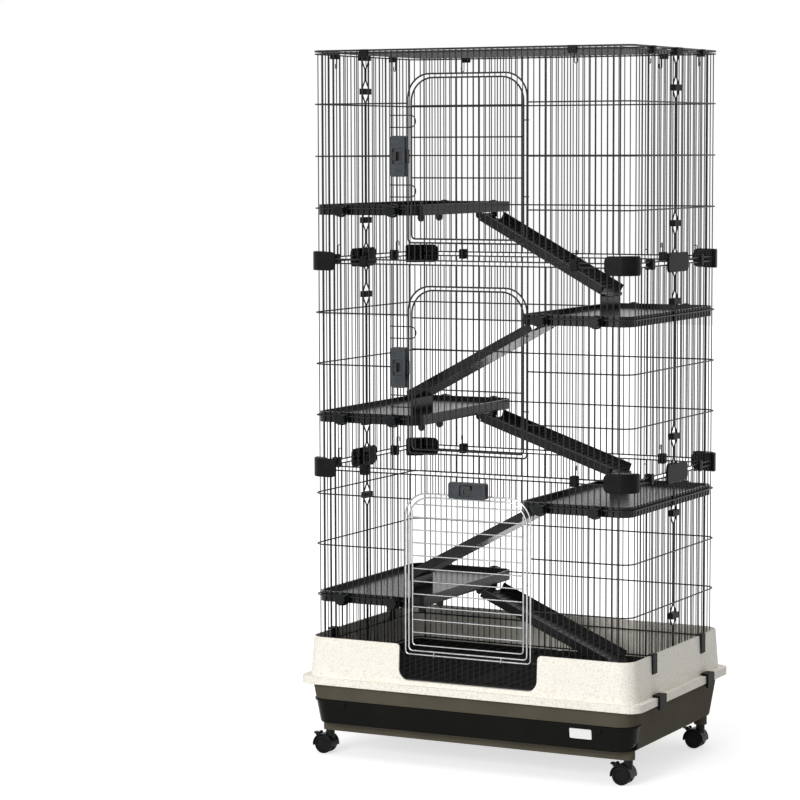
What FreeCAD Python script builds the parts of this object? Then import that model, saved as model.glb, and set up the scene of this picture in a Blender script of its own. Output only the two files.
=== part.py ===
import FreeCAD, Part
import math
import os

# A tall wire cage for small animals, on a plastic base with a litter drawer and four casters.
# Millimetres, +Z up, origin on the floor under the middle of the base.
# X runs along the front, Y to the back.

V = FreeCAD.Vector
X, Y, Z = V(1, 0, 0), V(0, 1, 0), V(0, 0, 1)
os.makedirs("parts", exist_ok=True)

# Overall sizes
overall_width = 800.1
overall_depth = 527.05
overall_height = 1511.3

# Clearances
seat_gap = 0.3        # between pieces that rest on one another
weld_gap = 0.05       # between two wires that cross
pin_gap = 0.08        # round a pin in its hole
slide_gap = 0.4       # each side of a slider in its guide
overrun = 1.0         # how far a cutting block passes the face it opens

# Wires
upright_r = 1.1
stay_r = 1.6          # the thicker uprights at the ends of each face and beside the upper doors
hoop_r = 1.5
opening_r = 1.8       # frame round a door opening, and the door's own frame
roof_frame_r = 2.0
stop_r = 1.2          # door stops, hinge hooks and small hooks

# Plan of the wire cage, to the middle of the hoops
cage_half_x = 367.5
cage_half_y = 240.0
corner_bend = 27.0
front_pitch_wanted = 13.6
door_stay_steps = 13  # from the middle of the front to the stays beside a door, in wire pitches
side_pitch_wanted = 16.3
halves_gap = 1.0      # between the front and the back half at the middle of each side

# Heights of the hoops
hoop_steps = (105.5, 109.7, 109.7, 107.0)
tier_gap = 9.0        # between the last hoop of one tier and the first of the next
low_first_step = 52.0
low_step = 109.4

# Door openings
upper_opening_half = 136.5
upper_opening_height = 350.0
upper_opening_drop = 45.0    # from the tier's top hoop to the opening's frame
low_opening_half = 145.0
low_opening_height = 343.0
low_opening_drop = 38.7
arch_radius = 50.0
foot_radius = 8.0
door_inset = 8.0      # from the opening's frame to the door's frame
door_wire_drops = (111.0, 176.0, 260.0)   # from the tier's top hoop to each cross wire of an upper door
low_rungs = 12
low_rung_pitch = 27.2
low_first_rung = 20.0        # over the opening's lower frame
low_ladder_inset = 8.5
low_ladder_bend = 7.0
hook_offset = 78.0    # from the middle of a door to each hinge hook

# Door latches
latch_length = 85.0
latch_width = 34.0
latch_depth = 16.0
latch_wall = 3.0
latch_fillet = 5.0
latch_overlap = 1.0   # how far the case stands over the opening's frame
recess_half_x = 12.0
recess_half_z = 17.0
recess_depth = 4.0
recess_corner = 4.0
low_latch_drop = 3.5  # how far the lower latch hangs over the opening's frame
slider_half = 14.0
slider_thick = 6.5
slider_reach = 4.5    # how far an upper latch's tongue stands out of its case when drawn back
low_slider_reach = 1.0
low_latch_shift = 7.0  # to the right of the middle
slider_travel = 10.0
grip_width = 8.0
grip_half = 9.0
grip_proud = 1.5
stop_near = 60.0      # from the latch's middle to the two wires of a door stop
stop_far = 85.0
stop_tail = 45.5      # how far a door stop runs from the opening's frame over the panel
stop_reach = 14.5     # how far it reaches behind the door
stop_bend_share = 0.49  # of the distance between a stop's two wires

# Buckles on the doubled edge wires
buckle_places = ((75.0, 355.5), (77.0, 360.0), (81.0, 298.5))   # below each tier's top hoop
kink_half = 11.3
kink_inner = 9.0
kink_outer = 24.0
kink_bend = 5.0
bow_inner = 13.0      # from the end of an edge wire to where its end bow starts to close
bow_outer = 28.0      # and to where it has closed
buckle_half_y = 16.5
buckle_half_z = 6.5
buckle_plate = 4.5
buckle_play = 0.15

# Connectors and clips between the tiers
connector_half_height = 20.0
connector_wall = 5.0
corner_tail = 31.0    # along the front or the back
corner_side_tail = 6.0
corner_end_radius = 12.0
side_end_radius = 5.0
side_connector_radius = 11.0
corner_inner_radius = 12.0
corner_trim = 6.0     # degrees left free at each end of a corner connector's inner half
side_connector_half = 56.0
side_connector_inner_half = 26.0
connector_fillet = 3.5
clamp_fillet_share = 0.33   # of a thin clip's wall
tail_fillet_share = 0.35    # of a corner connector's wall
web_half = 2.8
wire_play = 0.2
knob_small_r = 10.0
knob_small_length = 9.0
side_knob_shift = 12.0
clip_half = 8.0
clip_half_height = 11.0
clip_wall = 4.5
clip_corner = 2.5
roof_clip_corner = 2.0
clip_x = 242.0
clip_y = 136.0
clip_hook_rise = 20.0
clip_hook_out = 7.0
clip_hook_bend = 3.0
clip_hook_r = 0.9
roof_clip_half = 10.5
roof_clip_inner_half = 4.5
roof_side_clip_half = 8.0
roof_mid_clip_half = 18.0
roof_clip_drop = 16.0
roof_clip_inside = 3.0
roof_web = 0.9
roof_bars = 3

# Platforms
platform_inner = 116.0
platform_height = 22.0
platform_above_hoop = 8.0
platform_rim = 5.0
platform_pocket = 10.0
platform_floor = 3.0
platform_skin = 2.5
platform_corner = 25.0
platform_play = 0.3
platform_knobs = (293.0, 166.0)
knob_r = 12.5
knob_length = 20.0
knob_collar_r = 14.5
knob_collar_length = 5.0
knob_flutes = 8
knob_flute_r = 2.0
knob_fillet = 1.5
knob_bolt_r = 2.0
knob_hole_play = 0.3
knob_drop = 4.0       # below the hoop
bolt_reach = 3.0      # past the platform's rim

# Ramps
ramp_length = 350.0
ramp_start = 12.0
ramp_front_y = 58.0
ramp_back_y = 168.0
ramp_wall = 2.5
ramp_rim = 16.0
ramp_below_axis = 2.0
ramp_tread = 1.2
ramp_tread_pitch = 14.0
ramp_tread_width = 4.0
ramp_end_radius = 22.0
ramp_foot = 35.0
low_ramp_foot = 6.0
ramp_foot_wall = 4.0
ramp_foot_inset = 6.0
barrel_r = 5.0
ramp_pin_r = 2.8
lug_r = 7.0
lug_wall = 6.0
lug_drop = 7.0        # from the platform's underside to the ramp's hinge axis
lug_in = 8.0          # from the platform's edge to the axis
ramp_lug_ys = (75.0, 150.0)
spare_lug_ys = (-205.0, -120.0)

# Base: skirt
skirt_top = 261.0
skirt_wall = 4.0
skirt_top_half_x = 376.0
skirt_top_half_y = 250.0
skirt_flare = 5.0
skirt_corner = 36.0
flange_top = 176.0
flange_height = 16.0
flange_wall = 3.0
flange_corner = 30.0
step_top = 184.0
step_width = 16.0
lip_top = 179.2
lip_width = 12.0
cutout_floor = 185.0
cutout_top = skirt_top + seat_gap
cutout_half = 160.5
cutout_shift = 4.8    # to the right of the middle
cutout_radius = 24.0
cutout_lip_radius = 9.0
floor_bar_half = 7.0

# Base: pan and drawer
pan_top_half_x = 380.0
pan_top_half_y = 254.0
pan_low_half_x = 366.0
pan_low_half_y = 240.0
pan_bottom = 70.0
pan_wall = 3.0
pan_corner = 38.0
pan_edge_radius = 9.0
pan_inner_radius = 3.0
drawer_bottom = 74.5
drawer_top = 125.5
drawer_front_depth = 44.0
drawer_wall = 2.5
drawer_gap = 1.0
drawer_lower_radius = 14.0
drawer_lip = 2.5
drawer_lip_height = 4.0
tray_side_gap = 5.0
tray_height = 42.0
tray_corner = 20.0
tray_back_gap = 6.0
finger_tab_x = 298.0
finger_tab_width = 20.0
finger_tab_height = 11.0
finger_tab_proud = 3.0
rail_bottom = 53.0
rail_thick = 4.0
post_r = 14.0

# Mats
mat_thick = 3.5
mat_margin = 18.0
mat_rows = 12
mat_columns = 33
slot_width = 5.5
slot_length_share = 0.72
mat_play = 1.0
mat_corner = 14.0

# Clips on the base
base_clip_ys = (-138.0, 134.0)
base_clip_half = 18.0
flange_clip_wall = 5.0
flange_clip_lip = 12.0
flange_clip_below = 9.0
wire_clip_half = 11.0
wire_clip_drop = 38.0
wire_clip_wall = 3.0

# Casters
caster_x = 349.0
caster_y = 202.0
caster_trail = 11.0
wheel_r = 20.0
wheel_width = 12.5
wheel_fillet = 3.0
wheel_dish = 2.0
wheel_dish_share = 0.72
web_half_y = 3.5
web_side_gap = 0.5
hood_gap = 1.0
hood_wall = 2.5
hood_half_y = 17.0
hood_open_angle = 8.0   # how far the hood reaches below the axle's level, in degrees
axle_r = 3.0
axle_hub_r = 8.0
swivel_hub_r = 9.5
stem_r = 5.5
stem_length = 15.0
caster_top_gap = 0.6
lever_half_y = 7.0
lever_barrel_r = 2.8
lever_pin_r = 1.3
lever_length = 11.0
lever_thick = 3.0
lever_angle = 128.0     # where the brake lever sits on the hood, from the front of the caster
lever_rise = 8.0        # degrees by which the lever points up at rest
ear_wall = 2.5
ear_r = 4.2

# Derived places
upright_inset = hoop_r + upright_r + weld_gap
inside_face = hoop_r + weld_gap + 2 * stay_r
top_hoop_z = overall_height - 2 * roof_frame_r - 2 * weld_gap - 2 * upright_r - hoop_r
flange_half_x = overall_width / 2 - flange_clip_wall - seat_gap
flange_half_y = overall_depth / 2
flange_bottom = flange_top - flange_height
mid_y = halves_gap / 2 + stay_r
edge_wire_inset = hoop_r + weld_gap + stay_r
last_hoop_z = step_top + seat_gap + hoop_r
junction_lift = tier_gap / 2
hook_keep = opening_r + 2 * stop_r + seat_gap     # room that the hinge hooks need beside the frame


# Basic shapes

def box(x0, x1, y0, y1, z0, z1):
    return Part.makeBox(x1 - x0, y1 - y0, z1 - z0, V(x0, y0, z0))


def rod(start, end, radius):
    line = end.sub(start)
    return Part.makeCylinder(radius, line.Length, start, line)


def bent_path(points, radius):
    """Straight runs through the points, joined by tangent arcs of one radius."""
    edges = []
    last = points[0]
    for before, corner, after in zip(points, points[1:], points[2:]):
        a = before.sub(corner).normalize()
        b = after.sub(corner).normalize()
        half = a.getAngle(b) / 2
        run = radius / math.tan(half)
        middle = a.add(b).normalize()
        centre = corner.add(V(middle).multiply(radius / math.sin(half)))
        start = corner.add(V(a).multiply(run))
        end = corner.add(V(b).multiply(run))
        through = centre.sub(V(middle).multiply(radius))
        if last.distanceToPoint(start) > weld_gap:
            edges.append(Part.LineSegment(last, start).toShape())
        edges.append(Part.Arc(start, through, end).toShape())
        last = end
    edges.append(Part.LineSegment(last, points[-1]).toShape())
    return Part.Wire(edges)


def bent_wire(points, radius, bend):
    """A round wire of the given radius along straight runs and arcs."""
    path = bent_path(points, bend)
    ring = Part.Wire(Part.makeCircle(radius, points[0], points[1].sub(points[0])))
    return path.makePipeShell([ring], True, False)


def rounded_outline(half_x, half_y, radius, z):
    """A rectangle with round corners, centred on the origin."""
    hx, hy, r = half_x, half_y, radius
    d = r * (1 - math.sqrt(0.5))
    arcs = (
        (V(hx - r, -hy, z), V(hx - d, -hy + d, z), V(hx, -hy + r, z)),
        (V(hx, hy - r, z), V(hx - d, hy - d, z), V(hx - r, hy, z)),
        (V(-hx + r, hy, z), V(-hx + d, hy - d, z), V(-hx, hy - r, z)),
        (V(-hx, -hy + r, z), V(-hx + d, -hy + d, z), V(-hx + r, -hy, z)),
    )
    edges = []
    for i, arc in enumerate(arcs):
        edges.append(Part.Arc(*arc).toShape())
        edges.append(Part.LineSegment(arc[2], arcs[(i + 1) % len(arcs)][0]).toShape())
    return Part.Wire(edges)


def rounded_block(half_x, half_y, radius, z0, z1):
    return Part.Face(rounded_outline(half_x, half_y, radius, z0)).extrude(V(0, 0, z1 - z0))


def tapered_block(low_x, low_y, low_z, top_x, top_y, top_z, radius):
    low = rounded_outline(low_x, low_y, radius, low_z)
    top = rounded_outline(top_x, top_y, radius, top_z)
    return Part.makeLoft([low, top], True, True)


def fillet_along(shape, direction, radius):
    """Rounds the straight edges that run along one direction."""
    edges = [e for e in shape.Edges if len(e.Vertexes) == 2 and is_along(e, direction)]
    return shape.makeFillet(radius, edges)


def is_along(edge, direction):
    line = edge.Vertexes[1].Point.sub(edge.Vertexes[0].Point)
    is_line = edge.Curve.TypeId == "Part::GeomLine"
    return is_line and line.cross(direction).Length < weld_gap * line.Length


def write(name, solids):
    shape = solids[0] if len(solids) == 1 else Part.makeCompound(solids)
    shape.exportStep("parts/" + name + ".step")


def turned(shape):
    """The same piece half a turn round the upright middle line."""
    copy = shape.copy()
    copy.rotate(V(0, 0, 0), Z, 180)
    return copy


# Tiers

def tier_hoops(top, steps):
    heights = [top]
    for step in steps:
        heights.append(heights[-1] - step)
    return heights


def make_tiers():
    upper = tier_hoops(top_hoop_z, hoop_steps)
    middle = tier_hoops(upper[-1] - tier_gap, hoop_steps)
    lower = tier_hoops(middle[-1] - tier_gap, [low_first_step] + [low_step] * 3) + [last_hoop_z]
    tiers = []
    for name, hoops, buckles in zip(("upper", "middle", "lower"), (upper, middle, lower), buckle_places):
        low = name == "lower"
        drop = low_opening_drop if low else upper_opening_drop
        top = hoops[0] - drop
        tiers.append({
            "name": name,
            "hoops": hoops,
            "buckles": [hoops[0] - b for b in buckles],
            "half": low_opening_half if low else upper_opening_half,
            "top": top,
            "bottom": top - (low_opening_height if low else upper_opening_height),
        })
    return tiers


tiers = make_tiers()
platform_hoops = (
    ("1", -1, tiers[2]["hoops"][3]),
    ("2", 1, tiers[2]["hoops"][1]),
    ("3", -1, tiers[1]["hoops"][3]),
    ("4", 1, tiers[1]["hoops"][1]),
    ("5", -1, tiers[0]["hoops"][3]),
)


def evenly(start, end, wanted):
    count = round((end - start) / wanted)
    return [start + (end - start) * i / count for i in range(count + 1)]


front_xs = evenly(-cage_half_x + corner_bend, cage_half_x - corner_bend, front_pitch_wanted)
side_run_start = cage_half_y - corner_bend
side_count = round(side_run_start / side_pitch_wanted)
side_ys = [side_run_start * (1 - i / side_count) for i in range(side_count)]
front_pitch = front_xs[1] - front_xs[0]


def front_wire_r(x, tier, back):
    """Radius of the front or back upright at x."""
    beside_door = not back and tier["name"] != "lower" and round(abs(x) / front_pitch) == door_stay_steps
    at_end = abs(x) > front_xs[-1] - front_pitch / 2
    return stay_r if beside_door or at_end else upright_r


def between_wires(x):
    """The middle of the gap between front wires that lies nearest to x."""
    index = math.floor((x - front_xs[0]) / front_pitch)
    return front_xs[0] + (index + 0.5) * front_pitch


def arch_rise(x, half, top, radius):
    """Height of an arched frame's top wire over x."""
    over = abs(x) - (half - radius)
    if over <= 0:
        return top
    return top - radius + math.sqrt(max(radius ** 2 - min(over, radius) ** 2, 0))


def arch_half_at(z, half, top, radius):
    """Half width of an arched frame at height z."""
    over = z - (top - radius)
    if over <= 0:
        return half
    return half - radius + math.sqrt(max(radius ** 2 - over ** 2, 0))


def kinked_upright(x, side_y, bottom, top, buckles):
    """An edge wire that bows out at both ends and round each buckle."""
    out = side_y + math.copysign(kink_half, side_y)
    points = [V(x, out, bottom), V(x, out, bottom + bow_inner), V(x, side_y, bottom + bow_outer)]
    for z in sorted(buckles):
        points += [V(x, side_y, z - kink_outer), V(x, out, z - kink_inner)]
        points += [V(x, out, z + kink_inner), V(x, side_y, z + kink_outer)]
    points += [V(x, side_y, top - bow_outer), V(x, out, top - bow_inner), V(x, out, top)]
    return bent_wire(points, stay_r, kink_bend)


def tier_uprights(tier, back):
    bottom = tier["hoops"][-1] - hoop_r
    top = tier["hoops"][0] + hoop_r
    sign = 1 if back else -1
    solids = []
    for x in front_xs:
        radius = front_wire_r(x, tier, back)
        y = sign * (cage_half_y - hoop_r - weld_gap - radius)
        open_here = not back and abs(x) < tier["half"] + hook_keep
        if open_here:
            low_end = tier["bottom"] + opening_r
            high_start = arch_rise(x, tier["half"], tier["top"], arch_radius) - opening_r
            solids.append(rod(V(x, y, bottom), V(x, y, low_end), radius))
            solids.append(rod(V(x, y, high_start), V(x, y, top), radius))
        else:
            solids.append(rod(V(x, y, bottom), V(x, y, top), radius))
    for side in (-1, 1):
        x = side * (cage_half_x - upright_inset)
        for distance in side_ys:
            solids.append(rod(V(x, sign * distance, bottom), V(x, sign * distance, top), upright_r))
        edge_x = side * (cage_half_x - edge_wire_inset)
        solids.append(kinked_upright(edge_x, sign * mid_y, bottom, top, tier["buckles"]))
    return solids


def u_hoop(z, sign):
    """One hoop of a half: across the face and half way along both sides."""
    end = sign * halves_gap / 2
    far = sign * cage_half_y
    return bent_wire(
        [V(-cage_half_x, end, z), V(-cage_half_x, far, z), V(cage_half_x, far, z), V(cage_half_x, end, z)],
        hoop_r, corner_bend)


def cut_hoop(z, side, outer):
    """A front hoop's part on one side of the door opening, up to the outer edge of its frame."""
    x = side * cage_half_x
    stop = side * (outer + weld_gap)
    return bent_wire([V(x, -halves_gap / 2, z), V(x, -cage_half_y, z), V(stop, -cage_half_y, z)],
                     hoop_r, corner_bend)


def tier_hoop_wires(tier, back):
    solids = []
    for z in tier["hoops"]:
        crosses = tier["bottom"] < z < tier["top"]
        if back or not crosses:
            solids.append(u_hoop(z, 1 if back else -1))
        else:
            outer = arch_half_at(z - hoop_r, tier["half"] + opening_r, tier["top"] + opening_r,
                                 arch_radius + opening_r)
            solids += [cut_hoop(z, -1, outer), cut_hoop(z, 1, outer)]
    return solids


# Door openings and doors

frame_y = -cage_half_y + hoop_r - opening_r


def arched_loop(half, bottom, top, wire_r):
    """A closed wire frame with a rounded top, flush with the back of the front hoops."""
    y = frame_y
    middle = V(0, y, bottom)
    corners = [V(half, y, bottom), V(half, y, top), V(-half, y, top), V(-half, y, bottom)]
    low = bent_path([middle, corners[0], V(half, y, (bottom + top) / 2)], foot_radius).Edges
    high = bent_path([V(half, y, (bottom + top) / 2), corners[1], corners[2],
                      V(-half, y, (bottom + top) / 2)], arch_radius).Edges
    low_left = bent_path([V(-half, y, (bottom + top) / 2), corners[3], middle], foot_radius).Edges
    path = Part.Wire(low + high + low_left)
    ring = Part.Wire(Part.makeCircle(wire_r, middle, X))
    return path.makePipeShell([ring], True, False)


def door_stop(latch_z, side):
    """A hairpin of wire behind the free edge of an upper door."""
    y = -cage_half_y + inside_face + weld_gap + stop_r
    left = -upper_opening_half - stop_tail
    right = -upper_opening_half + stop_reach
    near = latch_z + side * stop_near
    far = latch_z + side * stop_far
    return bent_wire([V(left, y, near), V(right, y, near), V(right, y, far), V(left, y, far)],
                     stop_r, (stop_far - stop_near) * stop_bend_share)


def opening_frame(tier, latch_z):
    solids = [arched_loop(tier["half"], tier["bottom"], tier["top"], opening_r)]
    if tier["name"] != "lower":
        solids += [door_stop(latch_z, 1), door_stop(latch_z, -1)]
    return solids


def hinge_hook(axis_point, towards, run):
    """A closed eye round the opening's frame with a tail to the door's frame."""
    eye_r = opening_r + seat_gap + stop_r
    plane_normal = Z if towards.z == 0 and towards.x != 0 else X
    eye = Part.makeTorus(eye_r, stop_r, axis_point, plane_normal)
    start = axis_point.add(V(towards).multiply(eye_r))
    end = axis_point.add(V(towards).multiply(run))
    return eye.fuse(rod(start, end, stop_r)).removeSplitter()


def door_frame_sizes(tier):
    return tier["half"] - door_inset, tier["bottom"] + door_inset, tier["top"] - door_inset


def upper_door(tier):
    half, bottom, top = door_frame_sizes(tier)
    y = -cage_half_y
    solids = [arched_loop(half, bottom, top, opening_r)]
    for drop in door_wire_drops:
        z = tier["hoops"][0] - drop
        reach = arch_half_at(z, half, top, arch_radius) - opening_r - weld_gap
        solids.append(rod(V(-reach, y, z), V(reach, y, z), hoop_r))
    for x in front_xs:
        if abs(x) < half - opening_r - upright_r:
            rise = arch_rise(x, half, top, arch_radius) + opening_r
            solids.append(rod(V(x, y + upright_inset, bottom - opening_r), V(x, y + upright_inset, rise),
                              upright_r))
    middle = (bottom + top) / 2
    for side in (-1, 1):
        solids.append(hinge_hook(V(tier["half"], frame_y, middle + side * hook_offset), V(-1, 0, 0),
                                 door_inset - opening_r - weld_gap))
    return solids


def lower_door(tier):
    half, bottom, top = door_frame_sizes(tier)
    y = -cage_half_y
    solids = [arched_loop(half, bottom, top, opening_r)]
    first = tier["bottom"] + low_first_rung
    ladder = half - low_ladder_inset
    ladder_top = arch_rise(ladder + hoop_r, half, top, arch_radius) - opening_r - 2 * weld_gap - hoop_r
    solids.append(bent_wire([V(-ladder, y, ladder_top), V(-ladder, y, first), V(ladder, y, first),
                             V(ladder, y, ladder_top)], hoop_r, low_ladder_bend))
    for i in range(1, low_rungs):
        z = first + low_rung_pitch * i
        inside_ladder = ladder - hoop_r - weld_gap
        inside_arch = arch_half_at(z + hoop_r, half, top, arch_radius) - opening_r - 2 * weld_gap
        reach = min(inside_ladder, inside_arch)
        solids.append(rod(V(-reach, y, z), V(reach, y, z), hoop_r))
    for side in (-1, 1):
        solids.append(hinge_hook(V(side * hook_offset, frame_y, tier["bottom"]), V(0, 0, 1),
                                 door_inset - opening_r - weld_gap))
    return solids


# Door latches, made sliding along +X with the door on their right

latch_back = frame_y - opening_r - seat_gap
latch_front = latch_back - latch_depth
slider_back = latch_back - latch_wall - slide_gap
slider_front = slider_back - slider_thick


def latch_case():
    right = latch_overlap
    left = right - latch_width
    half = latch_length / 2
    case = box(left, right, latch_front, latch_back, -half, half)
    case = fillet_along(case, Y, latch_fillet)
    channel = box(left + latch_wall, right + overrun, slider_front - slide_gap, slider_back + slide_gap,
                  -slider_half - slide_gap, slider_half + slide_gap)
    grip_left = left + 2 * latch_wall
    window = box(grip_left, grip_left + grip_width + slider_travel + 2 * slide_gap,
                 latch_front - overrun, slider_front, -grip_half - slide_gap, grip_half + slide_gap)
    middle = left + latch_width / 2
    recess = box(middle - recess_half_x, middle + recess_half_x, latch_front - overrun,
                 latch_front + recess_depth, -recess_half_z, recess_half_z)
    recess = fillet_along(recess, Y, recess_corner)
    return case.cut(channel).cut(window).cut(recess)


def latch_slider(reach):
    right = latch_overlap
    left = right - latch_width
    plate = box(left + latch_wall + slide_gap, right + reach, slider_front, slider_back,
                -slider_half, slider_half)
    grip_left = left + 2 * latch_wall + slide_gap
    grip = box(grip_left, grip_left + grip_width, latch_front - grip_proud, slider_front + overrun,
               -grip_half, grip_half)
    return plate.fuse(grip).removeSplitter()


def place_latch(shape, tier):
    """Beside an upper opening, or turned to slide down over the lower one."""
    placed = shape.copy()
    if tier["name"] == "lower":
        placed.rotate(V(0, 0, 0), Y, 90)
        placed.translate(V(low_latch_shift, 0, tier["top"] - low_latch_drop))
    else:
        placed.translate(V(-tier["half"], 0, latch_height(tier)))
    return placed


def latch_height(tier):
    return tier["hoops"][2]


# Buckles on the doubled edge wires

def buckle(side, z):
    x = side * (cage_half_x - edge_wire_inset)
    core_half = halves_gap / 2 + kink_half - buckle_play
    face = stay_r + buckle_play
    core = box(x - face - overrun, x + face + overrun, -core_half, core_half,
               z - buckle_half_z, z + buckle_half_z)
    outer = box(x + face, x + face + buckle_plate, -buckle_half_y, buckle_half_y,
                z - buckle_half_z, z + buckle_half_z)
    inner = box(x - face - buckle_plate, x - face, -buckle_half_y, buckle_half_y,
                z - buckle_half_z, z + buckle_half_z)
    return core.fuse(outer).fuse(inner).removeSplitter()


# Connectors between the tiers

def clamp(half, inner_half, half_height, wall, corner, web_z, web_size, face_out, reach_in):
    """A clip on a wall whose hoops run along X, with the cage on its +Y side: an outer block, a web between
    the two hoops and an inner block. The hoop's middle line is at y = 0."""
    outside = -face_out
    inside = inside_face + wire_play
    outer = box(-half, half, outside - wall, outside, -half_height, half_height)
    outer = fillet_along(outer, Y, corner)
    rim = [e for e in outer.Edges if lies_at_y(e, outside - wall)]
    outer = outer.makeFillet(min(connector_fillet, wall * clamp_fillet_share), rim)
    inner = box(-inner_half, inner_half, inside, inside + reach_in, -half_height, half_height)
    inner = fillet_along(inner, Y, corner)
    web = box(-inner_half, inner_half, outside - overrun, inside + overrun,
              web_z - web_size, web_z + web_size)
    return outer.fuse(web).fuse(inner).removeSplitter()


def lies_at_y(edge, y):
    return all(abs(v.Point.y - y) < wire_play for v in edge.Vertexes)


def set_on_wall(shape, face, along, z):
    """Puts a clamp on the front, back, left or right wall."""
    placed = shape.copy()
    if face == "front":
        placed.translate(V(along, -cage_half_y, z))
    elif face == "back":
        placed.rotate(V(0, 0, 0), Z, 180)
        placed.translate(V(along, cage_half_y, z))
    elif face == "left":
        placed.rotate(V(0, 0, 0), Z, -90)
        placed.translate(V(-cage_half_x, along, z))
    else:
        placed.rotate(V(0, 0, 0), Z, 90)
        placed.translate(V(cage_half_x, along, z))
    return placed


def corner_connector():
    """Round the corner of +X and -Y, centred on the corner's bend."""
    near = corner_bend + hoop_r + wire_play
    far = near + connector_wall
    s = math.sqrt(0.5)
    edges = [
        Part.LineSegment(V(-corner_tail, -far, 0), V(0, -far, 0)).toShape(),
        Part.Arc(V(0, -far, 0), V(far * s, -far * s, 0), V(far, 0, 0)).toShape(),
        Part.LineSegment(V(far, 0, 0), V(far, corner_side_tail, 0)).toShape(),
        Part.LineSegment(V(far, corner_side_tail, 0), V(near, corner_side_tail, 0)).toShape(),
        Part.LineSegment(V(near, corner_side_tail, 0), V(near, 0, 0)).toShape(),
        Part.Arc(V(near, 0, 0), V(near * s, -near * s, 0), V(0, -near, 0)).toShape(),
        Part.LineSegment(V(0, -near, 0), V(-corner_tail, -near, 0)).toShape(),
        Part.LineSegment(V(-corner_tail, -near, 0), V(-corner_tail, -far, 0)).toShape(),
    ]
    outer = Part.Face(Part.Wire(edges)).extrude(V(0, 0, 2 * connector_half_height))
    outer.translate(V(0, 0, -connector_half_height))
    long_tips = [e for e in outer.Edges if is_tail_tip(e, X, -corner_tail)]
    outer = outer.makeFillet(corner_end_radius, long_tips)
    short_tips = [e for e in outer.Edges if is_tail_tip(e, Y, corner_side_tail)]
    outer = outer.makeFillet(side_end_radius, short_tips)
    rim = [e for e in outer.Edges if is_outer_rim(e, far)]
    outer = outer.makeFillet(connector_wall * tail_fillet_share, rim)
    inner_far = corner_bend - hoop_r - wire_play
    inner = ring_slice(corner_inner_radius, inner_far, connector_half_height)
    web = ring_slice(inner_far - overrun, near + overrun, web_half)
    return outer.fuse(web).fuse(inner).removeSplitter()


def is_tail_tip(edge, direction, place):
    """The upper and lower edges across the end of the tail that lies at a place along a direction."""
    at_end = all(abs(v.Point.dot(direction) - place) < wire_play for v in edge.Vertexes)
    return at_end and not is_along(edge, Z)


def is_outer_rim(edge, far):
    """An edge round the outer face, other than the lines where the flat tails meet the bend."""
    ends = [v.Point for v in edge.Vertexes]
    on_face = all(abs(p.y + far) < wire_play or abs(p.x - far) < wire_play or
                  abs(math.hypot(p.x, p.y) - far) < wire_play for p in ends)
    at_bend = is_along(edge, Z) and (abs(ends[0].x) < wire_play or abs(ends[0].y) < wire_play)
    return on_face and not at_bend


def ring_slice(inner_r, outer_r, half_height):
    """A quarter ring from -Y round to +X, a little short at both ends."""
    sweep = 90 - 2 * corner_trim
    block = Part.makeCylinder(outer_r, 2 * half_height, V(0, 0, -half_height), Z, sweep)
    block = block.cut(Part.makeCylinder(inner_r, 2 * half_height, V(0, 0, -half_height), Z, 360))
    block.rotate(V(0, 0, 0), Z, -90 + corner_trim)
    return block


def place_corner(shape, side_x, side_y, z):
    placed = shape.copy()
    if side_x < 0:
        placed = mirrored_x(placed)
    if side_y > 0:
        placed = placed.mirror(V(0, 0, 0), Y)
    placed.translate(V(side_x * (cage_half_x - corner_bend), side_y * (cage_half_y - corner_bend), z))
    return placed


def junction_heights():
    return [tier["hoops"][-1] - junction_lift for tier in tiers[:2]]


def make_corner_connectors():
    shape = corner_connector()
    return [place_corner(shape, sx, sy, z) for z in junction_heights() for sx in (-1, 1) for sy in (-1, 1)]


def make_side_connectors():
    face = hoop_r + wire_play
    body = clamp(side_connector_half, side_connector_inner_half, connector_half_height, connector_wall,
                 side_connector_radius, 0, web_half, face, connector_wall)
    knob_face = inside_face + wire_play + connector_wall
    knob = Part.makeCylinder(knob_small_r, knob_small_length, V(side_knob_shift, knob_face, 0), Y)
    knob = knob.makeFillet(knob_fillet, [e for e in knob.Edges if e.Curve.TypeId == "Part::GeomCircle"][:1])
    whole = body.fuse(knob).removeSplitter()
    return [set_on_wall(whole, name, 0, z) for z in junction_heights() for name in ("left", "right")]


def clip_hook():
    """A little wire hook that stands up from a panel clip's inner block."""
    y = inside_face + wire_play + clip_wall / 2
    z = clip_half_height
    return bent_wire([V(0, y, z), V(0, y, z + clip_hook_rise), V(0, y + clip_hook_out, z + clip_hook_rise),
                      V(0, y + clip_hook_out, z + clip_hook_rise / 2)], clip_hook_r, clip_hook_bend)


def wall_places():
    places = [("front", s * clip_x) for s in (-1, 1)] + [("back", s * clip_x) for s in (-1, 1)]
    return places + [(face, s * clip_y) for face in ("left", "right") for s in (-1, 1)]


def make_panel_clips():
    face = hoop_r + wire_play
    body = clamp(clip_half, clip_half, clip_half_height, clip_wall, clip_corner,
                 0, web_half, face, clip_wall)
    whole = body.fuse(clip_hook())
    return [set_on_wall(whole, name, along, z) for z in junction_heights() for name, along in wall_places()]


def roof_hook():
    """A little wire hook that hangs from a roof clip's inner block, along the wall."""
    y = inside_face + wire_play + roof_clip_inside / 2
    z = -roof_clip_drop / 2
    return bent_wire([V(0, y, z), V(0, y, z - clip_hook_rise), V(clip_hook_out, y, z - clip_hook_rise),
                      V(clip_hook_out, y, z - clip_hook_rise / 2)], clip_hook_r, clip_hook_bend)


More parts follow.
